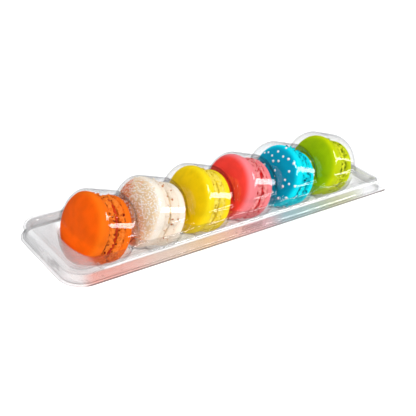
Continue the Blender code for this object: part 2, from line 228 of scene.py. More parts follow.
def drum(x, y, z, shape):
    """Distance outside a drum with domed ends, its axis tilted down along the row."""
    radius, near_cap, far_cap, length, along_power, round_power = shape
    along = x * math.cos(TILT) - z * math.sin(TILT)
    out = np.hypot(y, x * math.sin(TILT) + z * math.cos(TILT))
    cap = np.where(along < 0, near_cap, far_cap)
    past = np.where(along < 0, -along, np.maximum(along - length, 0)) / cap
    share = np.maximum(out / radius, 1e-3)
    total = past**along_power + share**round_power
    root = total ** (1 / round_power)
    rise_along = along_power * past ** (along_power - 1) / cap
    rise_out = round_power * share ** (round_power - 1) / radius
    rise = np.hypot(rise_along, rise_out)
    return (root - 1) / (rise * root / (round_power * total))


def swept_drum(x, y, z, shape, way, rounds):
    """The drum together with all that lies straight below it, or above it where way is -1."""
    low, high = np.zeros_like(x), np.full_like(x, 32.0)
    for _ in range(rounds):
        third = (high - low) * 0.382
        first, second = low + third, high - third
        lower = drum(x, y, z + way * first, shape) < drum(x, y, z + way * second, shape)
        high = np.where(lower, second, high)
        low = np.where(lower, low, first)
    return np.minimum(drum(x, y, z, shape), drum(x, y, z + way * (low + high) / 2, shape))


def row_of_drums(points, shape, way, blend, rounds):
    """All six drums, joined with soft valleys between them."""
    x, y, z = points.T
    best = np.full(len(points), 60.0)
    for index in range(COUNT):
        from_start = x - (ROW_START + PITCH * index)
        near = (np.abs(from_start - 12) < 36) & (np.abs(y) < 32)
        own = LAST_DOME if way > 0 and index == COUNT - 1 else shape
        local = swept_drum(from_start[near], y[near], z[near] - EDGE_HEIGHT, own, way, rounds)
        if way > 0:
            # a small ledge on the wall's side, below which the dome is a little wider
            ledge = EDGE_HEIGHT + 2.2 - 0.06 * from_start[near]
            below = smooth_step(ledge - z[near], -0.75, 0.75)
            local = local - LEDGE_DEPTH * below * smooth_step(np.abs(y[near]), 14, 21)
        best[near] = smooth_min(best[near], local, blend)
    return best


GROOVE_SPANS = (
    # lowest and highest x, then y, of each stretch of wall with a sunk groove
    (-140.0, -108.0, -50.0, -13.6),
    (-140.0, -108.0, 24.0, 50.0),
    (104.0, 140.0, 10.0, 50.0),
    (-96.0, -8.0, -50.0, -30.0),
    (16.0, 103.0, -50.0, -30.0),
    (-96.0, -8.0, 30.0, 50.0),
    (16.0, 96.0, 30.0, 50.0),
)
RIB_SPANS = (
    (-5.0, 13.0, -50.0, -30.0),
    (-5.0, 13.0, 30.0, 50.0),
    (-140.0, -120.0, -20.0, -7.0),
    (120.0, 140.0, 7.0, 20.0),
)


def spans_mask(x, y, spans, soft):
    mask = np.zeros_like(x)
    for x0, x1, y0, y1 in spans:
        inside = np.minimum(np.minimum(x - x0, x1 - x), np.minimum(y - y0, y1 - y))
        mask = np.maximum(mask, smooth_step(inside, -soft, soft))
    return mask


def lid_field(points, rounds=16):
    x, y, z = points.T
    outline = pack_outline(x, y)
    low, high = LIP_TOP + 1.6, RIM_TOP - 3.4
    level = smooth_step(z, low, low + 1.2) * smooth_step(-z, -high - 1.2, -high)
    outline = outline + GROOVE_DEPTH * level * spans_mask(x, y, GROOVE_SPANS, 0.8)
    for step in range(3):
        height = LIP_BOTTOM + 3.0 + RIB_GAP * step
        bump = np.clip(1 - np.abs(z - height) / 0.85, 0, 1)
        outline = outline - RIB_HEIGHT * smooth_step(bump, 0, 1) * spans_mask(x, y, RIB_SPANS, 0.8)
    wall = bead(-outline, z, 0.0, BEAD_WIDTH, RIM_TOP, BEAD_ROUND)
    panel = np.maximum(z - PANEL_TOP, outline + 3)
    body = smooth_min(wall, panel, 1.4)
    rise = np.clip((z - PANEL_TOP) / (CROWN_TOP - PANEL_TOP), -0.3, 1.5)
    near, far, side = -116.8 + 5.4 * rise, 118.6 - 0.9 * rise, 25.6 - 2.2 * rise
    step = rounded_rect(x - (near + far) / 2, y, (far - near) / 2, side, 15.5 - 2.0 * rise)
    body = smooth_min(body, smooth_max(step * 0.85, z - CROWN_TOP, 1.6), 1.4)
    return smooth_min(body, row_of_drums(points, DOME, 1, 2.0, rounds), 2.4)


TAB = ((-14, 3), (-12, -1.2), (1, -1.9), (3.6, -0.6), (3.9, 3), (1.2, 12), (-3, 13))


def tab_outline(x, y):
    """Distance outside the small pull tab at the far front corner, a shape with straight sides."""
    x, y = x - PACK_LENGTH / 2, y + PACK_WIDTH / 2
    reach = np.full_like(x, -60.0)
    for (x0, y0), (x1, y1) in zip(TAB, TAB[1:] + TAB[:1]):
        length = math.hypot(x1 - x0, y1 - y0)
        side = ((x - x0) * (y1 - y0) - (y - y0) * (x1 - x0)) / length
        reach = smooth_max(reach, side, 0.8)
    return reach


# Where along the row the first cell's flat foot has its middle
PAD_START = ROW_START + (CELL[3] + 2.5) * math.cos(TILT) - CELL[0] * math.sin(TILT)


def tray_field(points, rounds=16):
    x, y, z = points.T
    outline = pack_outline(x, y)
    inside_lid = SHEET + GAP + 1.0
    wall = bead(-outline, z, inside_lid, 3.6, RIM_TOP - SHEET - GAP - 0.4, 1.3)
    plate = np.maximum(z - (PANEL_TOP - SHEET - GAP), outline + inside_lid + 2)
    body = smooth_min(wall, plate, 1.0)
    lip = np.minimum(outline - LIP_REACH, tab_outline(x, y))
    body = smooth_min(body, smooth_max(lip, z - LIP_TOP, 0.5), 0.8)
    hollow = row_of_drums(points, CELL, -1, 1.2, rounds)
    foot_x = np.abs((x - PAD_START + PITCH / 2) % PITCH - PITCH / 2)
    pads = np.maximum(rounded_rect(foot_x, y, 6.0, 8.5, 3.5), np.maximum(SHEET - z, z - 9.0))
    pads = np.where(np.abs(x) < 112, pads, 60.0)
    return smooth_max(body, -smooth_min(hollow, pads, 0.8), 1.2)


CELL_CORNERS = [(i, j, k) for i in (0, 1) for j in (0, 1) for k in (0, 1)]


def contour(field, xs, ys, zs):
    """Quads over the surface where the field is zero, one point for each grid cell it crosses."""
    grid = np.stack(np.meshgrid(xs, ys, zs, indexing="ij"), axis=-1)
    value = field(grid.reshape(-1, 3), 9).reshape(grid.shape[:-1])
    inside = value < 0
    nx, ny, nz = (n - 1 for n in inside.shape)
    filled = sum(inside[i : i + nx, j : j + ny, k : k + nz].astype(int) for i, j, k in CELL_CORNERS)
    crossed = (filled > 0) & (filled < 8)
    number = np.full(crossed.shape, -1)
    number[crossed] = np.arange(crossed.sum())
    cells = np.argwhere(crossed)
    total, hits = np.zeros((len(cells), 3)), np.zeros(len(cells))
    for corner in CELL_CORNERS:
        for axis in range(3):
            if corner[axis]:
                continue
            start = tuple((cells + corner).T)
            end = tuple((cells + corner + np.eye(3, dtype=int)[axis]).T)
            a, b = value[start], value[end]
            cut = (a < 0) != (b < 0)
            share = np.where(cut, a / np.where(cut, a - b, 1.0), 0.0)
            total += cut[:, None] * (grid[start] + share[:, None] * (grid[end] - grid[start]))
            hits += cut
    faces = []
    for axis in range(3):
        u, v = (axis + 1) % 3, (axis + 2) % 3
        here, there = [slice(1, -1)] * 3, [slice(1, -1)] * 3
        here[axis], there[axis] = slice(0, -1), slice(1, None)
        starts, ends = inside[tuple(here)], inside[tuple(there)]
        at = np.argwhere(starts != ends)
        leaving = starts[tuple(at.T)]
        at[:, u] += 1
        at[:, v] += 1
        ring = []
        for back_u, back_v in ((1, 1), (0, 1), (0, 0), (1, 0)):
            cell = at.copy()
            cell[:, u] -= back_u
            cell[:, v] -= back_v
            ring.append(number[tuple(cell.T)])
        quads = np.stack(ring, axis=-1)
        faces.append(np.where(leaving[:, None], quads, quads[:, ::-1]))
    return total / hits[:, None], np.concatenate(faces)


def slope(field, points, step=0.04):
    parts = []
    for axis in np.eye(3):
        parts.append((field(points + axis * step) - field(points - axis * step)) / (2 * step))
    return np.stack(parts, axis=-1)


def settle(field, points, held):
    """The points moved onto the surface; held ones keep their height."""
    rise = slope(field, points)
    rise[held, 2] = 0.0
    step = field(points)[:, None] * rise / np.maximum((rise * rise).sum(axis=1), 0.05)[:, None]
    return points - np.clip(step, -0.8, 0.8)


def open_edges(faces):
    """The edges that only one face has, in that face's own direction."""
    ends = np.concatenate([faces[:, [k, (k + 1) % 4]] for k in range(4)])
    order = np.sort(ends, axis=1)
    _, index, count = np.unique(order, axis=0, return_inverse=True, return_counts=True)
    return ends[count[index.reshape(-1)] == 1]


def evened(points, faces, held):
    """Each point moved half way to the middle of its neighbours."""
    total, count = np.zeros_like(points), np.zeros(len(points))
    for k in range(4):
        here, there = faces[:, k], faces[:, (k + 1) % 4]
        for a, b in ((here, there), (there, here)):
            count += np.bincount(a, minlength=len(points))
            for axis in range(3):
                total[:, axis] += np.bincount(a, points[b, axis], len(points))
    moved = points + 0.5 * (total / np.maximum(count, 1)[:, None] - points)
    moved[held] = points[held]
    return moved


# cut edges take this in place of a bend, so that the material paints them as a darker grey line
CUT_EDGE = 3.0  # what a sheet's cut edges get in place of a bend


def bends(points, faces, out):
    """How tightly the skin turns at each point, in turns of its normal per millimetre."""
    total, count = np.zeros(len(points)), np.zeros(len(points))
    for k in range(4):
        a, b = faces[:, k], faces[:, (k + 1) % 4]
        apart = np.linalg.norm(points[a] - points[b], axis=1)
        turn = np.linalg.norm(out[a] - out[b], axis=1) / np.maximum(apart, 0.15)
        for end in (a, b):
            total += np.bincount(end, turn, len(points))
            count += np.bincount(end, minlength=len(points))
    return total / np.maximum(count, 1)


def formed_sheet(field, xs, ys, zs, thickness, drop=None):
    """A thin closed sheet whose outer skin is the field's surface, and how tightly it bends."""
    points, faces = contour(field, xs, ys, zs)
    if drop is not None:
        keep = ~drop(points)
        faces = faces[keep[faces].all(axis=1)]
    used, faces = np.unique(faces, return_inverse=True)
    points, faces = points[used], faces.reshape(-1, 4)
    rim = open_edges(faces)
    held = np.zeros(len(points), bool)
    held[rim.reshape(-1)] = True
    for _ in range(3):
        points = settle(field, points, held)
        points = evened(points, faces, held)
    for _ in range(2):
        points = settle(field, points, held)
    out = slope(field, points)
    out[held, 2] = 0.0
    out /= np.linalg.norm(out, axis=1)[:, None]
    count = len(points)
    inner = faces[:, ::-1] + count
    edge = np.stack([rim[:, 1], rim[:, 0], rim[:, 0] + count, rim[:, 1] + count], axis=-1)
    bend = bends(points, faces, out)
    bend[held] = CUT_EDGE
    both = np.concatenate([points, points - out * thickness])
    return both, np.concatenate([faces, inner, edge]), np.concatenate([bend, bend])


def mesh_object(name, points, faces, material=None, **shares):
    """An object from points in millimetres, with a number at each point for each named share."""
    mesh = bpy.data.meshes.new(name)
    mesh.from_pydata((np.asarray(points) * MM).tolist(), [], [list(f) for f in faces])
    mesh.shade_smooth()
    for key, values in shares.items():
        mesh.attributes.new(key, "FLOAT", "POINT").data.foreach_set("value", np.asarray(values, np.float32))
    if material:
        mesh.materials.append(material)
    ob = bpy.data.objects.new(name, mesh)
    bpy.context.scene.collection.objects.link(ob)
    return ob


def spaced(*stretches):
    """Grid lines with a chosen spacing in each stretch, given as ends and spacing."""
    lines = [stretches[0][0]]
    for start, end, gap in stretches:
        steps = max(1, round((end - start) / gap))
        lines += [start + (end - start) * (k + 1) / steps for k in range(steps)]
    return np.array(lines)


COARSE = 1.0


# The grid is fine along the pack's edges and wider over its middle
FINE, WIDE = 0.72 * COARSE, 1.17 * COARSE
GRID_X = spaced((-133.4, -117.0, FINE), (-117.0, 117.0, WIDE), (117.0, 134.4, FINE))
GRID_Y = spaced((-40.4, -29.0, FINE), (-29.0, 29.0, WIDE), (29.0, 40.4, FINE))


def make_lid(material):
    foot = LIP_TOP + GAP
    zs = spaced(
        (foot - 0.3, foot + 0.3, 0.6), (foot + 0.3, 28.0, 0.6 * COARSE), (28.0, 54.6, 1.05 * COARSE),
    )
    points, faces, bend = formed_sheet(lid_field, GRID_X, GRID_Y, zs, SHEET)
    return mesh_object("clear_lid", points, faces, material, bend=bend)


def make_tray(material):
    low = 14.85
    zs = spaced(
        (-0.6, low, 1.03 * COARSE), (low, 15.15, 0.3), (15.15, 15.75, 0.3), (15.75, 24.9, 0.7 * COARSE),
    )

    def outer_wall(points):
        """What the field has below the lip, where the real tray is open."""
        return (pack_outline(points[:, 0], points[:, 1]) > -8) & (points[:, 2] < low)

    points, faces, bend = formed_sheet(tray_field, GRID_X, GRID_Y, zs, SHEET, outer_wall)
    return mesh_object("clear_tray", points, faces, material, bend=bend)


# Macarons

def tilted(angle):
    """The axis of something that leans back by an angle, and the way up across it."""
    return Vector((math.cos(angle), 0, -math.sin(angle))), Vector((math.sin(angle), 0, math.cos(angle)))


def macaron_frame(index, radius, apart, cap, shift, lean):
    """Takes a point on the axis, from the near face's middle, to the pack, in millimetres."""
    axis, up = tilted(TILT + math.radians(lean))
    cell_axis, cell_up = tilted(TILT)
    lift = radius - CELL[0] + GAP + math.sin(math.radians(lean)) * apart
    start = Vector((ROW_START + PITCH * index, 0, EDGE_HEIGHT)) + cell_axis * shift + cell_up * lift
    turn = Matrix((axis, (0, 1, 0), up)).transposed().to_4x4()
    return Matrix.Translation(start - axis * cap) @ turn


def foot_share(edge):
    """How much of the shell's radius its foot keeps: less under a longer, tapering edge."""
    return 0.985 - 0.012 * edge


def shell_profile(radius, cap, edge, foot, face_rim):
    """Rows from the middle of the face to the middle of the back: distance, radius, the shares of rough foot,
    of seam between cap and foot, and of pale rim, a painted lit side, which starts at face_rim."""
    rows = []
    steps = 34
    for step in range(1, steps + 1):
        a = math.radians(90) * step / steps
        rim = max(face_rim, smooth_step(math.degrees(a), 52, 82))
        rows.append((cap * (1 - math.cos(a) ** 0.8), radius * math.sin(a) ** 0.8, 0.0, 0.0, rim))
    share = foot_share(edge)
    steps = 4 + round(edge)
    for step in range(1, steps + 1):
        t = step / steps
        rough = 0.35 * t**3
        rows.append((cap + edge * t, radius * (1 - (0.988 - share) * t * t), rough, 0.3 * rough, 1.0))
    for past, kept, rough in (
        (0.1, -0.002, 0.45), (0.25, -0.014, 0.7), (0.4, -0.022, 0.9), (0.6, -0.022, 1.0),
    ):
        rows.append((cap + edge + past, radius * (share + kept), rough, 1.0, 1.0))
    steps = 20
    for step in range(1, steps + 1):
        t = step / steps
        bulge = share - 0.021 + 0.023 * math.sin(math.pi * min(1.0, t / 1.1)) - 0.014 * t**3
        seam = max(0.0, 1 - 5 * t, 0.8 * (5 * t - 4))
        rows.append((cap + edge + 0.7 + (foot - 0.9) * t, radius * bulge, 1.0, seam, 1.0))
    back = cap + edge + foot
    for inset, kept, rough in (
        (0.06, share - 0.048, 0.6), (0.0, share - 0.073, 0.2),
        (0.0, 0.8, 0.0), (0.0, 0.5, 0.0), (0.0, 0.2, 0.0),
    ):
        rows.append((back - inset, radius * kept, rough, rough, 1.0))
    return rows


def filling_profile(radius):
    rows = []
    half = FILLING / 2
    for kept in (0.33, 0.66, 0.88, 0.96):
        rows.append((0.0, radius * kept, 0.0, 0.0, 0.0))
    steps = 8
    for step in range(steps + 1):
        a = math.pi * (step / steps - 0.5)
        rows.append((half + half * math.sin(a), radius * (0.998 + 0.019 * math.cos(a)), 1.0, 0.0, 0.0))
    for kept in (0.96, 0.88, 0.66, 0.33):
        rows.append((FILLING, radius * kept, 0.0, 0.0, 0.0))
    return rows


AROUND = 300  # points round each turned shape


def turned(name, rows, mirrored_at=None):
    """A closed turned solid about the X axis, with each point's shares of foot, seam and rim."""
    if mirrored_at is not None:
        rows = [(mirrored_at - row[0], *row[1:]) for row in rows][::-1]
    angle = np.linspace(0, 2 * math.pi, AROUND, endpoint=False)
    points = []
    for s, r, *_ in rows:
        points.append(np.stack([np.full(AROUND, s), r * np.cos(angle), r * np.sin(angle)], axis=-1))
    points = np.concatenate(points)
    shares = {}
    for column, key in enumerate(("foot", "seam", "rim"), 2):
        ends = [rows[0][column], rows[-1][column]]
        shares[key] = np.concatenate([np.repeat([row[column] for row in rows], AROUND), ends])
    faces = []
    for row in range(len(rows) - 1):
        for k in range(AROUND):
            m = (k + 1) % AROUND
            low, high = row * AROUND, (row + 1) * AROUND
            faces.append((low + m, low + k, high + k, high + m))
    first, last = len(points), len(points) + 1
    points = np.concatenate([points, [[rows[0][0], 0, 0], [rows[-1][0], 0, 0]]])
    end = (len(rows) - 1) * AROUND
    for k in range(AROUND):
        m = (k + 1) % AROUND
        faces.append((k, m, first))
        faces.append((end + m, end + k, last))
    return mesh_object(name, points, faces, **shares)


def new_tree(name, numbers):
    """A tree of geometry nodes with a geometry, numbers by name and a material going in."""
    tree = bpy.data.node_groups.new(name, "GeometryNodeTree")
    tree.interface.new_socket("Geometry", in_out="INPUT", socket_type="NodeSocketGeometry")
    for key, value in numbers.items():
        tree.interface.new_socket(key, in_out="INPUT", socket_type="NodeSocketFloat").default_value = value
    tree.interface.new_socket("Material", in_out="INPUT", socket_type="NodeSocketMaterial")
    tree.interface.new_socket("Geometry", in_out="OUTPUT", socket_type="NodeSocketGeometry")
    return tree, tree.nodes.new("NodeGroupInput").outputs


def named(tree, name, kind="FLOAT"):
    """What a mesh carries under this name."""
    node = add_node(tree, "GeometryNodeInputNamedAttribute", {"Name": name}, data_type=kind)
    return node.outputs["Attribute"]


def keep_number(tree, geometry, name, value, domain="POINT"):
    kind = "GeometryNodeStoreNamedAttribute"
    inputs = {"Geometry": geometry, "Name": name, "Value": value}
    return add_node(tree, kind, inputs, data_type="FLOAT", domain=domain).outputs[0]


def random_number(tree, seed, low=0.0, high=1.0):
    inputs = {2: low, 3: high, "Seed": seed}
    return add_node(tree, "FunctionNodeRandomValue", inputs, data_type="FLOAT").outputs[1]


def finish_tree(tree, geometry, material):
    """Ends a tree with real geometry in its material."""
    whole = add_node(tree, "GeometryNodeRealizeInstances", {"Geometry": geometry})
    dressed = add_node(tree, "GeometryNodeSetMaterial", {"Geometry": whole.outputs[0], "Material": material})
    out = tree.nodes.new("NodeGroupOutput")
    tree.links.new(dressed.outputs[0], out.inputs["Geometry"])
    return tree


def crumb_tree():
    """Roughs up a turned shape where its foot share is high, with ruffles, round lumps and open pores, and
    cracks it along its seams. Where the pores and cracks are, which the materials paint dark as shade, and
    how raised a point is, which sets the painted shade between the crumbs, stay as attributes."""
    numbers = {
        "Swell": 0.12, "Ruffle": 0.5, "Lump": 0.5, "Lump size": 2.6, "Pore": 0.9, "Pore size": 1.9,
        "Pore share": 0.5, "Crack": 0.8, "Seed": 0.0,
    }
    tree, given = new_tree("macaron_crumb", numbers)
    place = vector_calc(tree, "SCALE", add_node(tree, "GeometryNodeInputPosition").outputs[0], 1 / MM)
    aside = add_node(tree, "ShaderNodeCombineXYZ", {0: given["Seed"], 1: given["Seed"]}).outputs[0]
    place = vector_calc(tree, "ADD", place, aside)
    foot = named(tree, "foot")

    def swing(scale, detail):
        """Noise that goes to either side of nought."""
        return calc(tree, "SUBTRACT", noise(tree, place, scale, detail), 0.5)

    def cells(size, feature):
        # the cells are bent by noise, so that no pore is a plain round hole
        bend = vector_calc(tree, "SCALE", noise(tree, place, 0.5, 2.0, "Color"), product(tree, size, 0.9))
        inputs = {"Vector": vector_calc(tree, "ADD", place, bend), "Scale": calc(tree, "DIVIDE", 1.0, size)}
        return add_node(tree, "ShaderNodeTexVoronoi", inputs, feature=feature)

    swell = product(tree, swing(0.07, 1.0), given["Swell"])
    ruffle = product(tree, swing(0.22, 2.0), given["Ruffle"])
    lump = calc(tree, "SUBTRACT", 0.45, cells(given["Lump size"], "SMOOTH_F1").outputs["Distance"])
    lump = product(tree, lump, given["Lump"])
    pore_cells = cells(given["Pore size"], "F1")
    chosen = add_node(tree, "ShaderNodeSeparateXYZ", {0: pore_cells.outputs["Color"]}).outputs[0]
    chosen = calc(tree, "LESS_THAN", chosen, given["Pore share"])
    pore = ramp(tree, pore_cells.outputs["Distance"], 0.24, 0.52, 1.0, 0.0)
    pore = product(tree, pore, chosen, foot)
    crack = product(tree, ramp(tree, swing(0.28, 3.0), 0.0, 0.08), named(tree, "seam"), foot)
    crack_sink = product(tree, crack, product(tree, given["Crack"], 0.8))
    sink = calc(tree, "MAXIMUM", product(tree, pore, given["Pore"]), crack_sink)
    fine = swing(1.0, 3.0)
    rough = calc(tree, "MINIMUM", calc(tree, "ADD", calc(tree, "ADD", ruffle, lump), fine), 0.6)
    rough = calc(tree, "SUBTRACT", product(tree, rough, foot), sink)
    height = product(tree, calc(tree, "ADD", rough, swell), MM)
    move = vector_calc(tree, "SCALE", add_node(tree, "GeometryNodeInputNormal").outputs[0], height)
    inputs = {"Geometry": given["Geometry"], "Offset": move}
    moved = add_node(tree, "GeometryNodeSetPosition", inputs).outputs[0]
    crack_shade = product(tree, crack, calc(tree, "MINIMUM", given["Crack"], 1.0))
    # painted shade: pores and cracks are kept as a share that the materials paint dark
    kept = keep_number(tree, moved, "pore_and_crack_shade", calc(tree, "MAXIMUM", pore, crack_shade))
    raised = ramp(tree, calc(tree, "ADD", lump, fine), -0.5, 0.3)
    kept = keep_number(tree, kept, "raised", raised)
    return finish_tree(tree, kept, given["Material"])


def pearl_tree():
    """A small sugar pearl at every point, no two quite the same size."""
    tree, given = new_tree("sugar_pearls", {"Radius": 0.85, "Spread": 0.12})
    ball = add_node(tree, "GeometryNodeMeshUVSphere", {"Segments": 20, "Rings": 12, "Radius": MM})
    smooth = add_node(tree, "GeometryNodeSetShadeSmooth", {"Geometry": ball.outputs[0]})
    least = calc(tree, "SUBTRACT", given["Radius"], given["Spread"])
    most = calc(tree, "ADD", given["Radius"], given["Spread"])
    size = random_number(tree, 3, least, most)
    placed = add_node(
        tree, "GeometryNodeInstanceOnPoints",
        {"Points": given["Geometry"], "Instance": smooth.outputs[0], "Scale": size},
    )
    return finish_tree(tree, placed.outputs[0], given["Material"])


def coconut_tree():
    """A thin curled chip of coconut at every point, lying along the surface there."""
    tree, given = new_tree("coconut_chips", {"Length": 2.0, "Width": 0.7, "Thickness": 0.35})
    bar = add_node(
        tree, "GeometryNodeMeshCube",
        {"Size": (MM, MM, MM), "Vertices X": 6, "Vertices Y": 3, "Vertices Z": 2},
    )
    position = add_node(tree, "GeometryNodeInputPosition").outputs[0]
    along = vector_calc(tree, "SCALE", position, 1 / MM)
    along = add_node(tree, "ShaderNodeSeparateXYZ", {0: along}).outputs[0]
    square = product(tree, along, along)
    # thinner towards its ends, and curled up there
    narrow = calc(tree, "MULTIPLY_ADD", square, -2.4, 1.0)
    flat = calc(tree, "MULTIPLY_ADD", square, -1.6, 1.0)
    shape = add_node(tree, "ShaderNodeCombineXYZ", {0: 1.0, 1: narrow, 2: flat}).outputs[0]
    shaped = vector_calc(tree, "MULTIPLY", position, shape)
    lift = add_node(tree, "ShaderNodeCombineXYZ", {2: product(tree, square, 1.1 * MM)}).outputs[0]
    chip = add_node(
        tree, "GeometryNodeSetPosition",
        {"Geometry": bar.outputs[0], "Position": vector_calc(tree, "ADD", shaped, lift)},
    )
    smooth = add_node(tree, "GeometryNodeSetShadeSmooth", {"Geometry": chip.outputs[0]})
    out = named(tree, "out", "FLOAT_VECTOR")
    lying = add_node(tree, "FunctionNodeAlignRotationToVector", {"Vector": out}, axis="Z")
    way = random_number(tree, 1, 0.0, 6.283)
    rock = random_number(tree, 2, -0.30, 0.30)
    spin = add_node(tree, "ShaderNodeCombineXYZ", {0: rock, 1: rock, 2: way}).outputs[0]
    turned_chip = add_node(
        tree, "FunctionNodeRotateRotation",
        {"Rotation": lying.outputs[0], "Rotate By": spin}, rotation_space="LOCAL",
    )
    length = product(tree, given["Length"], random_number(tree, 4, 0.55, 1.25))
    width = product(tree, given["Width"], random_number(tree, 5, 0.6, 1.3))
    size = add_node(tree, "ShaderNodeCombineXYZ", {0: length, 1: width, 2: given["Thickness"]}).outputs[0]
    placed = add_node(
        tree, "GeometryNodeInstanceOnPoints",
        {
            "Points": given["Geometry"], "Instance": smooth.outputs[0],
            "Rotation": turned_chip.outputs[0], "Scale": size,
        },
    ).outputs[0]
    placed = keep_number(tree, placed, "tone", random_number(tree, 7), "INSTANCE")
    return finish_tree(tree, placed, given["Material"])


def apply_tree(ob, tree, **values):
    """The modifier's result as a plain mesh, its inputs given by name."""
    modifier = ob.modifiers.new(tree.name, "NODES")
    modifier.node_group = tree
    sockets = {s.name: s.identifier for s in tree.interface.items_tree if s.in_out == "INPUT"}
    for name, value in values.items():
        modifier[sockets[name.replace("_", " ").capitalize()]] = value
    ob.update_tag()
    seen = ob.evaluated_get(bpy.context.evaluated_depsgraph_get())
    mesh = bpy.data.meshes.new_from_object(seen)
    ob.modifiers.clear()
    ob.data = mesh
    return ob


def scatter(place, count, seed, facing, radius, cap, keep_apart, least, most):
    """Seeded places on a shell's cap and edge, as centre and outward direction, by the rule that
    also places the solid's toppings. The lowest part, where the macaron rests, is left out."""
    draws = random.Random(seed)
    found = []
    tries = 0
    while len(found) < count and tries < 20000:
        tries += 1
        a = draws.uniform(0, 2 * math.pi)
        angle = math.asin(math.sqrt(draws.uniform(least, most)))
        s, r = cap * (1 - math.cos(angle) ** 0.8), radius * math.sin(angle) ** 0.8
        spot = Vector((s * facing, r * math.cos(a), r * math.sin(a)))
        if spot.z > -0.6 * radius and all((spot - other).length > keep_apart for other, _ in found):
            slope_out = math.sin(angle) ** 1.3
            out = Vector((-facing * (1 - slope_out), slope_out * math.cos(a), slope_out * math.sin(a)))
            found.append((spot, out.normalized()))
    turn = place.to_3x3()
    return [(place @ spot, turn @ out) for spot, out in found]


def spots_object(name, spots, sink):
    """A bare point for each spot, sunk a little, that carries its outward direction."""
    points = [tuple(spot - out * sink) for spot, out in spots]
    ob = mesh_object(name, points, [])
    flat = [c for _, out in spots for c in out]
    ob.data.attributes.new("out", "FLOAT_VECTOR", "POINT").data.foreach_set("vector", flat)
    return ob


def hand_over(piece, node):
    """Every piece rides on the one body and takes the place of its solid."""
    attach(piece, "root")
    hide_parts(node)


def make_toppings(flavour, place, radii, cap, length):
    """The pearls of the blue macaron, and the coconut of the cream one with its smallest chips."""
    made = []
    if flavour == "blue":
        sugar = pearl_material()
        tree = pearl_tree()
        for side, radius, facing, count, at, least in (
            ("near", radii[0], 1, 24, 0.0, 0.0), ("far", radii[1], -1, 6, length, 0.8)
        ):
            seat = place @ Matrix.Translation((at, 0, 0))
            spots = scatter(seat, count, 70 + facing, facing, radius * 0.985, cap, 4.2, least, 0.96)
            pearls = spots_object(f"blue_pearls_{side}", spots, 0.1)
            apply_tree(pearls, tree, radius=0.9, spread=0.12, material=sugar)
            made.append((pearls, f"blue_shell_{side}", "blue_crust"))
    if flavour == "cream":
        spots = scatter(place, 26, 91, 1, radii[0], cap, 3.6, 0.0, 0.8)
        small = 520
        spots += scatter(place, small, 17, 1, radii[0], cap, 1.0, 0.0, 0.95)
        coconut = spots_object("cream_coconut", spots, -0.05)
        dried = coconut_material()
        apply_tree(coconut, coconut_tree(), length=2.0, width=0.56, thickness=0.45, material=dried)
        made.append((coconut, "cream_shell_near", "cream_crust"))
    for piece, node, slot in made:
        hand_over(piece, node)


def make_macaron(index, name, tree):
    colour, rim, foot, dark, inside = FLAVOURS[name]
    (near_radius, far_radius), cap, shift, lean, (edge, at, far_foot_end, apart) = SHAPES[name]
    length = apart + 2 * cap
    half = FILLING / 2
    place = macaron_frame(index, max(near_radius, far_radius), apart, cap, shift, lean)
    crust = crust_material(f"{name}_crust", colour, rim, foot, dark, STAIN if name == "cream" else None)
    cream = filling_material(f"{name}_filling", inside)
    profile = shell_profile(near_radius, cap, edge, at - half - GAP - edge, 0.0)
    near = turned(f"{name}_near", profile)
    far_edge = apart - far_foot_end
    profile = shell_profile(far_radius, cap, far_edge, far_foot_end - at - half - GAP, 1.0)
    far = turned(f"{name}_far", profile, length)
    kept = min(near_radius * foot_share(edge), far_radius * foot_share(far_edge)) - 1.2
    middle = turned(f"{name}_middle", filling_profile(kept))
    middle.data.transform(Matrix.Translation((MM * (cap + at - half), 0, 0)))
    ruffle, lump, lump_size, pore, pore_size, pore_share, crack = FEET[name]
    shell = dict(
        swell=0.5, ruffle=ruffle, lump=lump, lump_size=lump_size, pore=pore, pore_size=pore_size,
        pore_share=pore_share, crack=crack,
    )
    soft = dict(swell=0.0, ruffle=0.8, lump=0.3, pore=0.4, pore_size=2.6, pore_share=0.3, crack=0.0)
    for piece, node, material, values, slot in (
        (near, "shell_near", crust, shell, "crust"),
        (far, "shell_far", crust, shell, "crust"),
        (middle, "filling", cream, soft, "filling"),
    ):
        apply_tree(piece, tree, material=material, seed=17.3 * index + 5.1 * len(node), **values)
        piece.data.transform(Matrix.Scale(MM, 4) @ place @ Matrix.Scale(1 / MM, 4))
        piece.data.shade_smooth()
        hand_over(piece, f"{name}_{node}")
    make_toppings(name, place, (near_radius, far_radius), cap, length)


# Finishes

def object_place(tree):
    return add_node(tree, "ShaderNodeTexCoord").outputs["Object"]


def grain_group():
    """Fine baked grain shared by the crusts: a tone for the colour and a height for the bump."""
    tree = bpy.data.node_groups.new("baked_grain", "ShaderNodeTree")
    tree.interface.new_socket("Size", in_out="INPUT", socket_type="NodeSocketFloat").default_value = 1.0
    for name in ("Tone", "Height"):
        tree.interface.new_socket(name, in_out="OUTPUT", socket_type="NodeSocketFloat")
    given = tree.nodes.new("NodeGroupInput").outputs
    place = vector_calc(tree, "SCALE", object_place(tree), calc(tree, "DIVIDE", 1 / MM, given["Size"]))
    cloud = noise(tree, place, 0.16, 3.0)
    fine = noise(tree, place, 2.6, 3.0)
    pocks = add_node(tree, "ShaderNodeTexVoronoi", {"Vector": place, "Scale": 0.55}).outputs["Distance"]
    pocks = ramp(tree, pocks, 0.05, 0.2)
    out = tree.nodes.new("NodeGroupOutput")
    tone = calc(tree, "ADD", product(tree, cloud, 0.6), product(tree, fine, 0.4))
    tree.links.new(tone, out.inputs["Tone"])
    height = calc(tree, "ADD", fine, product(tree, pocks, 0.4))
    tree.links.new(height, out.inputs["Height"])
    return tree


GRAIN = grain_group()


def attribute(tree, name):
    return add_node(tree, "ShaderNodeAttribute", attribute_name=name).outputs["Fac"]


def surface(tree, shader):
    out = tree.nodes.new("ShaderNodeOutputMaterial")
    tree.links.new(shader.outputs[0], out.inputs["Surface"])


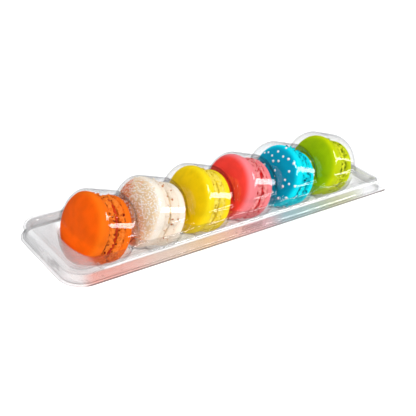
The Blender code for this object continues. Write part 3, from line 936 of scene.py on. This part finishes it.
def bumped(tree, height, strength, distance):
    inputs = {"Height": height, "Strength": strength, "Distance": distance}
    return add_node(tree, "ShaderNodeBump", inputs).outputs[0]


def plain_finish(tree, colour, roughness, bump, specular=0.5):
    """Ends a material that can't be seen through."""
    inputs = {"Base Color": colour, "Roughness": roughness, "Specular IOR Level": specular, "Normal": bump}
    surface(tree, add_node(tree, "ShaderNodeBsdfPrincipled", inputs))


STAIN = (0.78, 0.16, 0.03)  # what tints the cream macaron's face next to the orange one


def stained(tree, body, stain):
    """A reddish tint over the lower back of the cream macaron's face, under the coconut."""
    place = object_place(tree)
    x, y, z = add_node(tree, "ShaderNodeSeparateXYZ", {0: place}).outputs
    patch = noise(tree, place, 220.0, 3.0)
    lean = calc(tree, "SUBTRACT", product(tree, y, 36.0), calc(tree, "MULTIPLY_ADD", z, 22.0, -0.68))
    lean = calc(tree, "ADD", lean, calc(tree, "MULTIPLY_ADD", patch, 1.6, -0.8))
    share = product(tree, ramp(tree, lean, -0.30, 0.35), ramp(tree, x, -0.058, -0.053, 0.95, 0.0))
    return mix_colour(tree, share, body, stain)


def crust_material(name, colour, rim_colour, foot_colour, dark, stain=None):
    """Baked crust: smooth and even on the cap, paler on its rim as a painted lit side and on the foot's
    raised crumbs, with painted shade between the crumbs and dark painted shade in pores and cracks."""
    material, tree = new_material(name)
    grain = add_node(tree, "ShaderNodeGroup", node_tree=GRAIN)
    shade = ramp(tree, grain.outputs["Tone"], 0.35, 0.62)
    body = mix_colour(tree, shade, tuple(c * 0.90 for c in colour), tuple(min(1.0, c * 1.05) for c in colour))
    if stain:
        body = stained(tree, body, stain)
    # painted light: the rim is a paler, lit copy of the crust colour
    body = mix_colour(tree, attribute(tree, "rim"), body, rim_colour)
    # painted shade: the low places between the crumbs are darker
    low = tuple(0.85 * r + 0.15 * d for r, d in zip(rim_colour, dark))
    crumb = mix_colour(tree, attribute(tree, "raised"), low, foot_colour)
    body = mix_colour(tree, attribute(tree, "foot"), body, crumb)
    # painted shade: dark in pores and cracks
    body = mix_colour(tree, ramp(tree, attribute(tree, "pore_and_crack_shade"), 0.10, 0.65), body, dark)
    bump = bumped(tree, grain.outputs["Height"], 0.4, 0.0003)
    plain_finish(tree, body, 0.6, bump, 0.05)
    return material


def filling_material(name, colour):
    material, tree = new_material(name)
    grain = add_node(tree, "ShaderNodeGroup", {"Size": 1.6}, node_tree=GRAIN)
    shade = ramp(tree, grain.outputs["Tone"], 0.3, 0.7)
    body = mix_colour(tree, shade, tuple(c * 0.7 for c in colour), colour)
    # painted shade: dark in the filling's pores
    body = mix_colour(tree, attribute(tree, "pore_and_crack_shade"), body, tuple(c * 0.4 for c in colour))
    bump = bumped(tree, grain.outputs["Height"], 0.3, 0.0003)
    plain_finish(tree, body, 0.4, bump, 0.15)
    return material


def pearl_material():
    material, tree = new_material("sugar_pearl")
    cloud = noise(tree, object_place(tree), 900.0, 2.0)
    white = mix_colour(tree, cloud, (0.94, 0.92, 0.88), (0.98, 0.97, 0.95))
    plain_finish(tree, white, 0.35, bumped(tree, cloud, 0.2, 0.0001))
    return material


def coconut_material():
    """Dried coconut, white to tan from chip to chip, with faint fibres."""
    material, tree = new_material("coconut")
    fibre = noise(tree, object_place(tree), 1400.0, 2.0)
    tan = ramp(tree, attribute(tree, "tone"), 0.6, 1.0)
    colour = mix_colour(tree, tan, (0.99, 0.98, 0.95), (0.86, 0.64, 0.38))
    colour = mix_colour(tree, ramp(tree, fibre, 0.5, 0.8, 0.0, 0.6), colour, (0.88, 0.80, 0.68))
    plain_finish(tree, colour, 0.55, bumped(tree, fibre, 0.3, 0.0001))
    return material


# A painted glow along the row: the colour painted into the tray's haze at each place, standing in for the
# macarons' light that the plastic carries and mirrors: X in millimetres and colour
PAINTED_ROW_GLOW = (
    (-129.0, grey(0.85)), (-121.0, (0.85, 0.80, 0.78)), (-114.0, (0.84, 0.13, 0.02)),
    (-86.0, (0.78, 0.15, 0.04)), (-68.0, (0.68, 0.37, 0.22)), (-50.0, (0.70, 0.38, 0.18)),
    (-30.0, (0.80, 0.36, 0.01)), (-12.0, (0.78, 0.26, 0.03)), (6.0, (0.75, 0.06, 0.05)),
    (22.0, (0.52, 0.07, 0.08)), (34.0, (0.0, 0.22, 0.28)), (62.0, (0.04, 0.26, 0.24)),
    (82.0, (0.38, 0.38, 0.02)), (98.0, (0.50, 0.52, 0.15)), (112.0, grey(0.85)),
)


def painted_row_glow(tree, x):
    """The painted glow: the colour of the macaron that stands at each place of the row, softly run together.
    """
    along = calc(tree, "MULTIPLY_ADD", x, 1 / (PACK_LENGTH * MM), 0.5)
    node = add_node(tree, "ShaderNodeValToRGB", {0: along})
    stops = node.color_ramp.elements
    for number, (at, colour) in enumerate(PAINTED_ROW_GLOW):
        stop = stops[number] if number < 2 else stops.new(1.0)
        stop.position = at / PACK_LENGTH + 0.5
        stop.color = (*colour, 1.0)
    return node.outputs[0]


def tray_haze_and_painted_glow(tree, x, y, z, haze, front_edge_shade):
    """How milky the tray is, and the colour of its haze: a painted glow of the row's colours low in front,
    grey elsewhere. Places are metres.
    """
    ends = ramp(tree, calc(tree, "ABSOLUTE", x), 0.106, 0.113)
    walls = calc(tree, "MAXIMUM", ends, ramp(tree, calc(tree, "ABSOLUTE", y), 0.0335, 0.0345))
    least = 0.015
    share = calc(tree, "MULTIPLY_ADD", walls, haze - least, least)
    # painted glow: the first cell's haze is made thicker, so that it glows with the painted orange of its
    # macaron
    near_end = product(tree, ramp(tree, x, -0.124, -0.118), ramp(tree, x, -0.100, -0.088, 1.0, 0.0))
    near_cell_glow = product(tree, near_end, ramp(tree, z, 0.0200, 0.0210, 0.30, 0.0))
    share = calc(tree, "MAXIMUM", share, near_cell_glow)
    # no haze on the front edge's painted shade
    share = product(tree, share, calc(tree, "MULTIPLY_ADD", front_edge_shade, -1.0, 1.0))
    # painted glow low in front, where the cells hold the macarons
    low_front = product(tree, ramp(tree, z, 0.0205, 0.0215, 1.0, 0.0), ramp(tree, y, 0.0, 0.012, 1.0, 0.0))
    return share, mix_colour(tree, low_front, grey(0.64), painted_row_glow(tree, x))


def lid_painted_highlight(tree, x, y, z):
    """A painted highlight: the thin white band along the lid's front bead, painted on as white haze, and its
    colour.
    """
    share = product(
        tree,
        ramp(tree, z, 0.0223, 0.0228), ramp(tree, z, 0.0234, 0.0239, 1.0, 0.0),
        ramp(tree, y, -0.0355, -0.0345, 1.0, 0.0), ramp(tree, x, -0.112, -0.104, 0.0, 0.42),
    )
    return share, (*grey(0.97), 1.0)


def clear_material(name, tint, dome_tint, gloss_roughness, haze=0.0):
    """Thin clear plastic: see-through, with gloss on top, and painted shade that makes it a little greyer in
    the domes, edge on and where it bends tightly, standing in for how the curved sheet bends light. With haze
    it is the tray's, and otherwise the lid's."""
    material, tree = new_material(name)
    place = object_place(tree)
    x, y, z = add_node(tree, "ShaderNodeSeparateXYZ", {0: place}).outputs
    bump = bumped(tree, noise(tree, place, 190.0, 2.0), 0.22, 0.0004)
    facing = add_node(tree, "ShaderNodeLayerWeight", {"Blend": 0.5}).outputs["Facing"]
    # painted shade: greyer in the domes and where the sheet is seen edge on
    colour = mix_colour(tree, ramp(tree, z, 0.027, 0.031), tint, dome_tint)
    colour = mix_colour(tree, ramp(tree, facing, 0.30, 0.75), colour, grey(0.955), "MULTIPLY")
    # painted shade: grey lines where the sheet bends tightly, and darker ones on its cut edges
    bend = attribute(tree, "bend")
    colour = mix_colour(tree, ramp(tree, bend, 0.28, 0.75), colour, grey(0.82), "MULTIPLY")
    colour = mix_colour(tree, ramp(tree, bend, 1.6, 2.4), colour, grey(0.72))
    # painted shade: only the outermost edge along the long front side is painted dark, standing in for the
    # shade at the foot of the skirt
    front_edge_shade = ramp(tree, y, -0.0382, -0.0376, 1.0, 0.0)
    colour = mix_colour(tree, front_edge_shade, colour, (0.40, 0.36, 0.35))
    gloss = add_node(
        tree, "ShaderNodeBsdfGlossy",
        {"Color": (1.0, 1.0, 1.0, 1.0), "Roughness": gloss_roughness, "Normal": bump},
    )
    waved = add_node(tree, "ShaderNodeLayerWeight", {"Blend": 0.5, "Normal": bump}).outputs["Facing"]
    mirror = calc(tree, "MULTIPLY_ADD", calc(tree, "POWER", waved, 5.0), 0.28, 0.028)
    # duller in the fillet round the feet of the domes
    fillet = product(
        tree,
        ramp(tree, z, 0.0232, 0.0240), ramp(tree, z, 0.0285, 0.0300, 1.0, 0.0),
        ramp(tree, calc(tree, "ABSOLUTE", y), 0.0275, 0.0285, 1.0, 0.0),
    )
    mirror = product(tree, mirror, calc(tree, "MULTIPLY_ADD", fillet, -0.8, 1.0))
    through = add_node(tree, "ShaderNodeBsdfTransparent", {"Color": colour})
    share, white = tray_haze_and_painted_glow(tree, x, y, z, haze, front_edge_shade) if haze else lid_painted_highlight(tree, x, y, z)
    # a white shader: on the tray it is the real haze, coloured with a painted glow, and on the lid only the
    # painted highlight band
    haze_and_painted_light = add_node(
        tree, "ShaderNodeBsdfPrincipled", {"Base Color": white, "Roughness": 0.5, "Specular IOR Level": 0.0}
    )
    surface(tree, mix_shaders(tree, mirror, mix_shaders(tree, share, through, haze_and_painted_light), gloss))
    return material


# Camera, lights and floor

def way_out(azimuth, elevation):
    """From the pack towards a camera or light, in degrees; azimuth 0 is the front side, 90 is +X."""
    a, e = math.radians(azimuth), math.radians(elevation)
    return Vector((math.sin(a) * math.cos(e), -math.cos(a) * math.cos(e), math.sin(e)))


def place_camera():
    target, distance = Vector((0.34, 6.19, 12.89)) * MM, 570.4 * MM
    back, roll = way_out(-38.9, 29.041), math.radians(5.058)
    right = (-back).cross(Vector((0, 0, 1))).normalized()
    up = right.cross(-back)
    turned_right = right * math.cos(roll) + up * math.sin(roll)
    turned_up = up * math.cos(roll) - right * math.sin(roll)
    camera = bpy.data.cameras.new("camera")
    camera.lens = 70.97
    camera.sensor_width = 36.0
    camera.clip_start = 0.01
    ob = bpy.data.objects.new("camera", camera)
    turn = Matrix((turned_right, turned_up, back)).transposed().to_4x4()
    ob.matrix_world = Matrix.Translation(target + back * distance) @ turn
    bpy.context.scene.collection.objects.link(ob)
    bpy.context.scene.camera = ob


def softbox(name, azimuth, elevation, distance, width, height, radiance, mirrored, lights_food=True):
    """A rectangular light that faces the pack, with its distance and size in metres."""
    way = way_out(azimuth, elevation)
    light = bpy.data.lights.new(name, "AREA")
    light.shape = "RECTANGLE"
    light.size, light.size_y = width, height
    light.energy = radiance * math.pi * width * height
    ob = bpy.data.objects.new(name, light)
    ob.matrix_world = Matrix.Translation(way * distance) @ way.to_track_quat("Z", "Y").to_matrix().to_4x4()
    ob.visible_camera = False
    ob.visible_glossy = mirrored
    ob.visible_diffuse = lights_food
    bpy.context.scene.collection.objects.link(ob)


def light_studio():
    scene = bpy.context.scene
    world = bpy.data.worlds.new("studio")
    scene.world = world
    world.use_nodes = True
    tree = world.node_tree
    tree.nodes.clear()
    path = add_node(tree, "ShaderNodeLightPath").outputs
    room, mirrored, white = (
        add_node(tree, "ShaderNodeBackground", {"Color": (*colour, 1.0), "Strength": strength})
        for colour, strength in (
            ((0.93, 0.96, 1.0), 0.55), ((0.97, 0.98, 1.0), 0.03), ((1.0, 1.0, 1.0), 1.0),
        )
    )
    lit = mix_shaders(tree, path["Is Glossy Ray"], room, mirrored)
    mixed = mix_shaders(tree, path["Is Camera Ray"], lit, white)
    out = tree.nodes.new("ShaderNodeOutputWorld")
    tree.links.new(mixed.outputs[0], out.inputs["Surface"])
    softbox("overhead", -40.0, 68.0, 1.4, 1.0, 1.0, 3.2, mirrored=False)
    softbox("key", 45.0, 35.0, 1.3, 1.3, 0.75, 3.4, mirrored=False)
    softbox("fill", -80.0, 26.0, 1.3, 1.0, 0.8, 2.6, mirrored=False)
    softbox("streak", 54.0, 16.5, 1.5, 0.72, 0.24, 11.0, mirrored=True, lights_food=False)
    softbox("rim", 49.0, 41.0, 1.5, 0.46, 0.48, 11.0, mirrored=True, lights_food=False)
    scene.view_settings.view_transform = "Standard"
    scene.cycles.transparent_max_bounces = 40


def lay_floor():
    """A plain white floor, which the plastic mirrors only faintly."""
    material, tree = new_material("pale_floor")
    grain = add_node(tree, "ShaderNodeTexNoise", {"Scale": 30.0, "Detail": 2.0}).outputs[0]
    colour = mix_colour(tree, grain, grey(0.60), grey(0.63))
    matt = add_node(
        tree, "ShaderNodeBsdfPrincipled",
        {"Base Color": colour, "Roughness": 0.9, "Emission Color": (1, 1, 1, 1), "Emission Strength": 0.6},
    )
    dim = add_node(tree, "ShaderNodeEmission", {"Color": (0.95, 0.96, 1.0, 1.0), "Strength": 0.04})
    mirrored = add_node(tree, "ShaderNodeLightPath").outputs["Is Glossy Ray"]
    surface(tree, mix_shaders(tree, mirrored, matt, dim))
    corners = [(-4000, -4000, -0.3), (4000, -4000, -0.3), (4000, 4000, -0.3), (-4000, 4000, -0.3)]
    mesh_object("floor", corners, [(0, 1, 2, 3)], material)


def main():
    place_camera()
    light_studio()
    lay_floor()
    tree = crumb_tree()
    for index, name in enumerate(FLAVOURS):
        make_macaron(index, name, tree)
    # the greyer tint is painted shade for the domes
    clear, greyer = (0.982, 0.982, 0.983), (0.948, 0.947, 0.950)
    lid = make_lid(clear_material("clear_lid_plastic", clear, greyer, 0.04))
    tray = make_tray(clear_material("clear_tray_plastic", (0.978, 0.978, 0.979), clear, 0.05, haze=0.29))
    hand_over(lid, "lid")
    hand_over(tray, "base_tray")


main()
